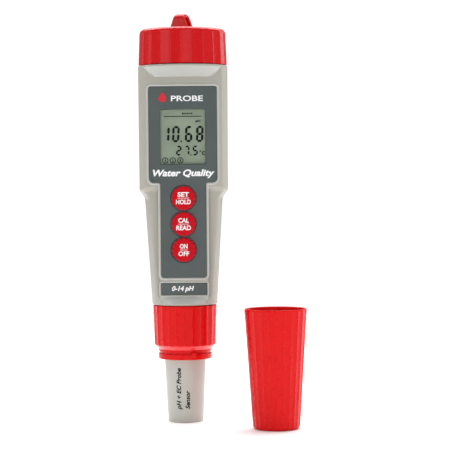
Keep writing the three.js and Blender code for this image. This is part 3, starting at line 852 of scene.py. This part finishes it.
def display():
    half = LENS_HALF - 0.1
    window = rectangle(-half, half, lens_low.z - 0.2, lens_high.z + 0.2, 0.4)
    lens_levels = [(-FACE + POCKET + 0.4, 0), (-FACE + POCKET + 0.05, 0), (-FACE + POCKET, -0.05)]
    settle(plate("display_lens", lens_levels, window, CLEAR_LENS), "housing", "window", "lcd_window")
    glass_low, glass_high = node_box("lcd_glass")
    glass_half = (glass_high.x - glass_low.x) / 2
    glass_corners = rectangle(-glass_half, glass_half, glass_low.z, glass_high.z, 0.3)
    glass_levels = [(glass_high.y - PROBE[1], 0), (-FACE + 2.4, 0)]
    glass = plate("display_glass", glass_levels, glass_corners, DISPLAY_FILM)
    front_levels = [(-FACE + 2.5, 0), (DISPLAY_FRONT + 0.05, 0), (DISPLAY_FRONT, -0.05)]
    join(glass, plate("display_face", front_levels, window, DISPLAY_FILM))
    settle(glass, "housing", "display_glass", "lcd_glass")
    points, faces = [], []
    for mark in display_marks():
        rings = [[(x, y, z) for x, z in mark] for y in (DISPLAY_FRONT + 0.03, DISPLAY_FRONT - 0.03)]
        mark_points, mark_faces = loft(rings)
        faces += [tuple(corner + len(points) for corner in face) for face in mark_faces]
        points += mark_points
    settle(add_mesh("display_digits", points, faces, LIQUID_CRYSTAL), "housing", "display_glass")
    left, low = -LENS_HALF, lens_low.z - GAP
    for name, text, width, height, x, z in (
        ("unit_ph", "pH", 2.1, 1.3, left + 16.1, low + 18.3),
        ("unit_celsius", "C", 1.3, 1.7, left + 18.3, low + 4.75),
        ("icon_low", "1", 0.5, 1.15, left + 2.1, low + 1.75),
        ("icon_middle", "2", 0.8, 1.15, left + 5.3, low + 1.75),
        ("icon_high", "3", 0.8, 1.15, left + 8.5, low + 1.75),
    ):
        words = lettering(name, text, width, height, x, z, DISPLAY_FRONT, LIQUID_CRYSTAL, 0, 0.05, 0.03)
        settle(words, "housing", "display_glass")


KEY_TEETH = 16
KEY_TOP_THICKNESS = 0.65
KEY_FRONT = -FACE - 0.9
KEY_WORDS = {
    "button_mode": (("SET", 4.9), ("HOLD", 6.3)),
    "button_cal": (("CAL", 4.5), ("READ", 6.3)),
    "button_power": (("ON", 3.3), ("OFF", 4.6)),
}


def key_ring(y, z, shrink, tooth_depth):
    """The toothed outline of a key at one depth."""
    sides = KEY_TEETH * 10
    ring = []
    for side in range(sides):
        angle = TURN * side / sides
        wave = math.cos(KEY_TEETH * angle)
        tooth = 0.5 + 0.5 * math.copysign(abs(wave) ** 0.6, wave)
        reach = KEY_RADIUS - shrink - tooth_depth * (1 - tooth)
        ring.append((reach * math.cos(angle), y, z + reach * math.sin(angle)))
    return ring


def key(node, z):
    """A soft key: a toothed top with a rounded shoulder and a slight crown, on a plain round body."""
    back = KEY_FRONT + 2.4
    under = KEY_FRONT + KEY_TOP_THICKNESS
    shoulder = KEY_FRONT + 0.35
    narrower = KEY_RADIUS - KEY_BODY_RADIUS
    levels = [(back, narrower, 0), (under, narrower, 0), (under, 0.1, 0.5), (shoulder, 0, 0.5)]
    for angle in spaced(0, math.pi / 2, 5):
        levels.append((shoulder - 0.3 * math.sin(angle), 0.35 * (1 - math.cos(angle)), 0.5))
    for share, crown in ((0.85, 0.02), (0.6, 0.05), (0.3, 0.07)):
        levels.append((KEY_FRONT + 0.05 - crown, KEY_RADIUS * (1 - share), 0.5 * share ** 3))
    levels.append((KEY_FRONT - 0.025, KEY_RADIUS * 0.97, 0))
    rings = [key_ring(y, z, shrink, tooth_depth) for y, shrink, tooth_depth in levels]
    name = node.replace("button", "key")
    cap = add_mesh(name, *loft(rings), KEY_RED)
    stem_back = node_box(node)[1].y - PROBE[1]
    join(cap, peg("stem", [(stem_back, 1.7), (stem_back - 0.3, 2), (back - 0.2, 2)], 0, z, KEY_RED, sides=32))
    settle(cap, node, "key_red", node, crease=45)
    (upper, upper_width), (lower, lower_width) = KEY_WORDS[node]
    for part, text, width, up in (
        ("_upper_word", upper, upper_width, 1.55),
        ("_lower_word", lower, lower_width, -1.6),
    ):
        words = lettering(name + part, text, width, 2.0, 0, z + up, KEY_FRONT, WHITE_INK, 0.04, raise_mm=0.07)
        settle(words, node, "key_red")
    rule = rectangle(-upper_width / 2, upper_width / 2, z - 0.1, z + 0.08, 0.06)
    rule_levels = [(KEY_FRONT + 0.05, 0), (KEY_FRONT - 0.08, 0)]
    settle(plate(name + "_rule", rule_levels, rule, WHITE_INK), node, "key_red")


# ---- fluted pieces
def flute_angles():
    """Pairs of an angle round a fluted piece, in radians, and its offset from a flute's middle.

    A ridge, where two flutes meet, is at the middle of the front.
    """
    step = 360 / FLUTES
    start = -90 + step / 2
    return [
        (math.radians(start + flute * step + offset), offset)
        for flute in range(FLUTES)
        for offset in FLUTE_OFFSETS
    ]


def fluted_reach(radius, offset, amount, hollow=0.12, bead=0.07):
    """How far out the fluted surface is, at an offset in degrees from the middle of a flute."""
    ridge_radius = radius - bead
    flat = ridge_radius * math.cos(math.radians(7.5)) / math.cos(math.radians(offset))
    dip = hollow * (1 - (offset / 7.5) ** 2)
    rise = bead * math.sin(math.pi / 2 * share_between(abs(offset), BEAD_START, 7.5))
    return radius + amount * (flat - dip + rise - radius)


def fluted_ring(radius, z, amount):
    return [around(fluted_reach(radius, offset, amount), angle, z) for angle, offset in flute_angles()]


def fluted_turn(name, profile, material, axis=PROBE, hollow=False):
    """A turned piece whose profile points (radius, z, amount of fluting) may be fluted."""
    rings = [fluted_ring(max(radius, 0.02), z, amount) for radius, z, amount in profile]
    return add_mesh(name, *loft(rings, closed=hollow), material, axis)


def rounded_steps(centre_r, centre_z, radius, start, end, steps=5):
    """Points on an arc of a profile. Angles in degrees, 0 out and 90 up."""
    for step in range(steps + 1):
        angle = math.radians(start + (end - start) * step / steps)
        yield centre_r + radius * math.cos(angle), centre_z + radius * math.sin(angle)


LOOP_HEIGHT, LOOP_DEPTH, LOOP_BASE_HALF, LOOP_TOP_HALF = 6.6, 7.8, 4.2, 1.9
LOOP_ASIDE = -0.25
LOOP_TURN = math.radians(-20)


def lanyard_loop(base):
    """An arched strap, wide at its feet and narrow on top, turned a little off the front."""
    shoulder = 2.4
    half_depth = LOOP_DEPTH / 2
    path = [(-half_depth - 0.35, -0.8), (-half_depth - 0.1, 0.6), (-half_depth + 0.1, 2.4)]
    centre_y, centre_z = half_depth - shoulder, LOOP_HEIGHT - shoulder
    for step in range(9):
        angle = math.pi / 2 * step / 8
        path.append((-centre_y - shoulder * math.cos(angle), centre_z + shoulder * math.sin(angle)))
    path += [(-y, z) for y, z in reversed(path)]
    rings = []
    for index, place in enumerate(path):
        before = Vector(path[max(index - 1, 0)])
        after = Vector(path[min(index + 1, len(path) - 1)])
        along = (after - before).normalized()
        inward = Vector((along.y, -along.x))
        share = share_between(place[1], 0, LOOP_HEIGHT)
        half = LOOP_BASE_HALF + (LOOP_TOP_HALF - LOOP_BASE_HALF) * share
        thickness = 2.0 - 0.5 * share
        ring = []
        for x, depth in outline(rectangle(-half, half, 0, thickness, 0.45), steps=3):
            y, z = Vector(place) + inward * depth
            turned_x = x * math.cos(LOOP_TURN) - y * math.sin(LOOP_TURN)
            turned_y = x * math.sin(LOOP_TURN) + y * math.cos(LOOP_TURN)
            ring.append((turned_x + LOOP_ASIDE, turned_y, z + base))
        rings.append(ring)
    return add_mesh("loop", *loft(rings), RED_PAINTED_SHADE)


def battery_cap():
    low = battery_cap_low.z
    top = battery_cap_high.z - LOOP_HEIGHT
    low_radius, high_radius, rounding = 18.95, 18.45, 2.1
    profile = [(low_radius - 0.35, low, 0.9), (low_radius, low + 0.3, 1)]
    wall = zip(spaced(low_radius, high_radius, 8), spaced(low + 0.3, top - 2.3, 8))
    profile += [(radius, z, 1) for radius, z in wall]
    for radius, z in rounded_steps(high_radius - rounding, top - rounding, rounding, 10, 80, steps=8):
        profile.append((radius, z, max(0.0, 1 - (z - (top - rounding)) / 1.1)))
    profile += [(13, top + 0.2, 0), (8, top + 0.36, 0), (3, top + 0.44, 0), (0, top + 0.44, 0)]
    cap = fluted_turn("battery_cap_shell", profile, RED_PAINTED_SHADE)
    bore, ceiling = 16.1, top - 2.6
    bore_profile = [(bore + 0.4, low - 1), (bore + 0.4, low + 0.1), (bore, low + 0.5), (bore, ceiling)]
    cut(cap, turned("cap_bore", bore_profile, RED_PAINTED_SHADE))
    join(cap, lanyard_loop(top))
    settle(cap, "battery_cap", "red_plastic", "battery_cap", crease=30)


def collar():
    """The collar: a plain neck with a groove, a scalloped chamfer and a fluted grip."""
    low, high = collar_low.z, collar_high.z
    neck, groove, lip, bore = 11.46, 10.9, 9.3, 11.9  # radii
    low_radius, high_radius = 13.2, 13.6
    groove_low, groove_high = 29.5, 30.4
    chamfer_low, chamfer_high, lip_top = 31.4, 33.3, 35.2
    neck_profile = [
        (neck - 0.3, low), (neck - 0.08, low + 0.1), (neck, low + 0.35), (neck, groove_low - 0.2),
        (neck - 0.15, groove_low), (groove, groove_low + 0.05), (groove, groove_high - 0.05),
        (neck - 0.1, groove_high), (neck, groove_high + 0.15), (neck, chamfer_low - 0.1),
    ]
    rings = [fluted_ring(radius, z, 0) for radius, z in neck_profile]
    slope = (chamfer_high - chamfer_low) / (low_radius - neck)
    scalloped = []
    for angle, offset in flute_angles():
        reach = fluted_reach(low_radius, offset, 1)
        scalloped.append(around(reach, angle, chamfer_low + (reach - neck) * slope))
    rings.append(scalloped)
    radii = spaced(low_radius, high_radius, 8)
    heights = spaced(chamfer_high + 0.3, high - 0.3, 8)
    rings += [fluted_ring(radius, z, 1) for radius, z in zip(radii, heights)]
    rings.append(fluted_ring(high_radius - 0.3, high, 0.9))
    inside = [(bore + 0.3, high), (bore, high - 0.3), (bore, lip_top), (lip, lip_top), (lip, low)]
    rings += [fluted_ring(radius, z, 0) for radius, z in inside]
    piece = add_mesh("collar_ring", *loft(rings, closed=True), BRIGHT_RED)
    nib_levels = [(-groove + 1, 0), (-neck - 0.1, 0), (-neck - 0.25, -0.15)]
    nib_corners = rectangle(2.9, 4.9, groove_low - 1.2, groove_high - 0.1, 0.25)
    join(piece, plate("nib", nib_levels, nib_corners, BRIGHT_RED))
    # The chamfer faces get the lighter red: painted highlight where they face down.
    paint_highlight_on_leaning_faces(piece, RED_PAINTED_HIGHLIGHT, (chamfer_low - 0.2, chamfer_high + 0.2, 0.3))
    settle(piece, "collar", "bright_red_plastic", "collar", crease=28)


def protective_cap():
    low, high = guard_low.z, guard_high.z
    bottom_radius, mouth_radius = 9.8, 13.0
    bore_low, bore_high, floor = 8.2, 11.65, 2.0
    step_radius, step_z = bore_high - 0.5, high - 3.5
    profile = [(0, low + 0.35, 0), (5.5, low + 0.35, 0), (6.2, low, 0)]
    for radius, z in rounded_steps(bottom_radius - 1.5, low + 1.5, 1.5, -90, -5, steps=7):
        profile.append((radius, z, share_between(z, low + 0.4, low + 1.6)))
    for z in spaced(low + 1.9, high - 0.7, 12):
        profile.append((bottom_radius + (mouth_radius - bottom_radius) * (z - low) / (high - low), z, 1))
    profile.append((mouth_radius - 0.1, high - 0.35, 0.5))
    inside = [
        (mouth_radius - 0.3, high - 0.08), (mouth_radius - 0.55, high), (bore_high + 0.35, high),
        (bore_high + 0.1, high - 0.15), (bore_high, high - 0.5), (bore_high - 0.12, high - 3.0),
        (step_radius, step_z), *zip(spaced(step_radius, bore_low, 8), spaced(step_z, floor, 8)), (0, floor),
    ]
    profile += [(radius, z, 0) for radius, z in inside]
    guard = fluted_turn("protective_cap_shell", profile, BRIGHT_RED, axis=CAP)
    settle(guard, "protective_cap", "bright_red_plastic", "protective_cap", crease=30)


def cap_sponge():
    """A soft pad pressed into the bottom of the cap, a little uneven on top."""
    low, high = node_box("cap_sponge")
    full_radius = (high.x - low.x) / 2
    rings = []
    for share, z in (
        (0.9, low.z), (0.98, low.z + 1.2), (1, low.z + 3.5), (0.98, high.z - 1.4), (0.9, high.z - 0.5),
        (0.7, high.z - 0.15), (0.4, high.z), (0.05, high.z - 0.1),
    ):
        ring = []
        for angle in angles_round(48):
            uneven = 1 + 0.012 * math.sin(5 * angle + z) + 0.008 * math.sin(11 * angle - 2 * z)
            sag = 0.12 * share * math.sin(3 * angle + 2 * share)
            ring.append(around(full_radius * share * uneven, angle, z + sag))
        rings.append(ring)
    pad = add_mesh("storage_sponge", *loft(rings), SPONGE, CAP)
    settle(pad, "protective_cap", "sponge", "cap_sponge", crease=60)


# ---- sensor module
MODULE_TIP, MODULE_TOP, MODULE_BORE = 7.6, 8.9, 6.3  # radii
MODULE_PLUG, MODULE_FLANGE = 8, 10.6
MODULE_FLANGE_LOW, MODULE_FLANGE_HIGH = 35.5, 38


def module_radius(z):
    return MODULE_TIP + (MODULE_TOP - MODULE_TIP) * share_between(z, 0, collar_low.z)


def sensor_module():
    low, high = (corner.z for corner in node_box("module_shell"))
    tip, bore, plug, flange = MODULE_TIP, MODULE_BORE, MODULE_PLUG, MODULE_FLANGE
    profile = [(bore + 0.3, low), (tip - 0.35, low), (tip - 0.1, low + 0.12), (tip, low + 0.4)]
    profile += [(module_radius(z), z) for z in (6, 12, 18, 24, collar_low.z, MODULE_FLANGE_LOW)]
    profile += [(flange, MODULE_FLANGE_LOW), (flange, MODULE_FLANGE_HIGH), (plug, MODULE_FLANGE_HIGH)]
    profile += [(plug, high - 0.4), (plug - 0.4, high), (3.5, high), (3.5, high - 2), (bore, high - 2)]
    profile.append((bore, low + 0.3))
    shell = turned("module_shell_body", profile, LIGHT_GREY, sides=128, hollow=True)
    settle(shell, "sensor_module", "light_grey", "module_shell", crease=30)
    bulb_profile = [(0, 2), *rounded_steps(0, 4.9, 2.9, -80, 35, steps=12)]
    bulb_profile += [(2.15, 7.1), (2.1, 8), (2.1, 20), (2.1, 40), (0, 40)]
    bulb = turned("glass_bulb", bulb_profile, BULB_GLASS, sides=48)
    settle(bulb, "sensor_module", "bulb_glass", "ph_bulb", crease=40)


def module_words():
    """Letters that run up the front of the module and wrap round it."""
    for name, text, length, height, x, z in (
        ("module_words_long", "pH + EC Probe", 17.9, 2.7, -2.45, 14.6),
        ("module_words_short", "Sensor", 7.9, 2.0, 1.05, 9.9),
    ):
        flat = lettering(name, text, length, height, 0, 0, 0, BLACK_INK)
        shape = bmesh.new()
        shape.from_mesh(flat.data)
        bmesh.ops.triangulate(shape, faces=shape.faces)
        for _ in range(3):
            long_edges = [edge for edge in shape.edges if edge.calc_length() > 0.5 * MM]
            bmesh.ops.subdivide_edges(shape, edges=long_edges, cuts=1)
            bmesh.ops.triangulate(shape, faces=shape.faces)
        for vertex in shape.verts:
            along = vertex.co.x / MM - PROBE[0]
            lift = 0.06 if vertex.co.y / MM < PROBE[1] else -0.15
            radius = module_radius(z + along)
            bearing = (x - vertex.co.z / MM) / radius
            across, depth = spoke(radius + lift, bearing)
            vertex.co = Vector((PROBE[0] + across, PROBE[1] + depth, z + along)) * MM
        bmesh.ops.recalc_face_normals(shape, faces=shape.faces)
        shape.to_mesh(flat.data)
        shape.free()
        settle(flat, "sensor_module", "light_grey", crease=60)


# ---- pieces that keep their CAD shape
def finish_cad_nodes():
    """Gives the CAD nodes that stay their materials, by how their names start."""
    finishes = {
        BLACK_PLASTIC: ("lcd_frame", "module_socket", "battery_tray", "tip_bulkhead", "module_plug"),
        RUBBER: ("zebra_strip", "keypad_mat", "battery_cap_gasket", "module_oring"),
        SOLDER_MASK: ("main_pcb",),
        RIBBON: ("sensor_ribbon",),
        CERAMIC: ("reference_junction",),
        STEEL: (
            "dome_switch", "pcb_screw", "battery_cell", "battery_contact", "conductivity_pin",
            "temperature_sensor",
        ),
    }
    for material, starts in finishes.items():
        for node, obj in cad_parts.items():
            if node.startswith(starts):
                obj.data.materials.clear()
                obj.data.materials.append(material)


# ---- camera, light and floor
def camera():
    data = bpy.data.cameras.new("camera")
    data.lens = 140.8
    data.sensor_width = 36
    data.clip_start, data.clip_end = 0.05, 20
    eye = new_object("camera", data)
    eye.location = ((PROBE[0] + 17.75) * MM, (PROBE[1] - 757) * MM, 104 * MM)
    eye.rotation_euler = Euler((math.radians(90 - 1.5), math.radians(0.5), 0), "XYZ")
    bpy.context.scene.camera = eye


def softbox(name, place, aim, width, height, power, mirrored=True):
    data = bpy.data.lights.new(name, "AREA")
    data.shape = "RECTANGLE"
    data.size, data.size_y = width, height
    data.energy = power
    lamp = new_object(name, data)
    lamp.location = place
    lamp.rotation_euler = (Vector(aim) - Vector(place)).to_track_quat("-Z", "Y").to_euler()
    lamp.visible_glossy = mirrored


def studio():
    bpy.context.scene.view_settings.view_transform = "Standard"
    world = bpy.data.worlds.new("studio")
    bpy.context.scene.world = world
    world.use_nodes = True
    nodes, links = world.node_tree.nodes, world.node_tree.links
    ambient = nodes["Background"]
    set_inputs(ambient, Color=(1, 1, 1, 1), Strength=0.25)
    backdrop = nodes.new("ShaderNodeBackground")
    set_inputs(backdrop, Color=(1, 1, 1, 1), Strength=1.1)
    seen = nodes.new("ShaderNodeLightPath")
    mix = nodes.new("ShaderNodeMixShader")
    links.new(seen.outputs["Is Camera Ray"], mix.inputs["Fac"])
    links.new(ambient.outputs["Background"], mix.inputs[1])
    links.new(backdrop.outputs["Background"], mix.inputs[2])
    links.new(mix.outputs["Shader"], nodes["World Output"].inputs["Surface"])
    middle = (0, 0, 0.09)
    softbox("overhead_softbox", (0, 0.65, 1.4), (0, 0, 0), 2.4, 1.6, 58.0)
    softbox("top_front_fill", (-0.1, -0.6, 0.9), middle, 0.6, 0.6, 2.2, mirrored=False)
    softbox("front_left_softbox", (-0.62, -0.58, 0.22), middle, 0.40, 0.45, 0.62)
    softbox("front_right_softbox", (0.30, -0.95, 0.24), middle, 0.42, 0.45, 0.55)
    softbox("right_fill", (0.80, -0.32, 0.10), middle, 0.5, 0.5, 1.15, mirrored=False)
    softbox("right_rim_softbox", (0.50, 0.45, 0.2), middle, 0.15, 0.5, 0.5)
    softbox("left_rim_softbox", (-0.60, 0.32, 0.2), middle, 0.15, 0.5, 0.12)
    side = 0.6
    corners = [(-side, -side, 0), (side, -side, 0), (side, side, 0), (-side, side, 0)]
    plane = bpy.data.meshes.new("studio_floor")
    plane.from_pydata(corners, [], [(0, 1, 2, 3)])
    plane.materials.append(floor_finish())
    new_object("studio_floor", plane)


# ---- the object
camera()
housing()
raised_lip("overlay_lip", OVERLAY_CORNERS)
raised_lip("label_lip", LABEL_CORNERS, width=0.6, height=0.18)
threaded_insert("neck_thread", NECK, 149.95, 163.5, 147.6, 150.0, 155.7, "neck_insert")
threaded_insert("spigot_thread", SPIGOT, 40.2, 52.65, 52.6, 55.0, 41.6, "spigot_insert")
overlay_film()
printed_words()
display()
for node, z in KEY_HEIGHTS.items():
    key(node, z)
battery_cap()
collar()
sensor_module()
module_words()
protective_cap()
cap_sponge()
finish_cad_nodes()
studio()
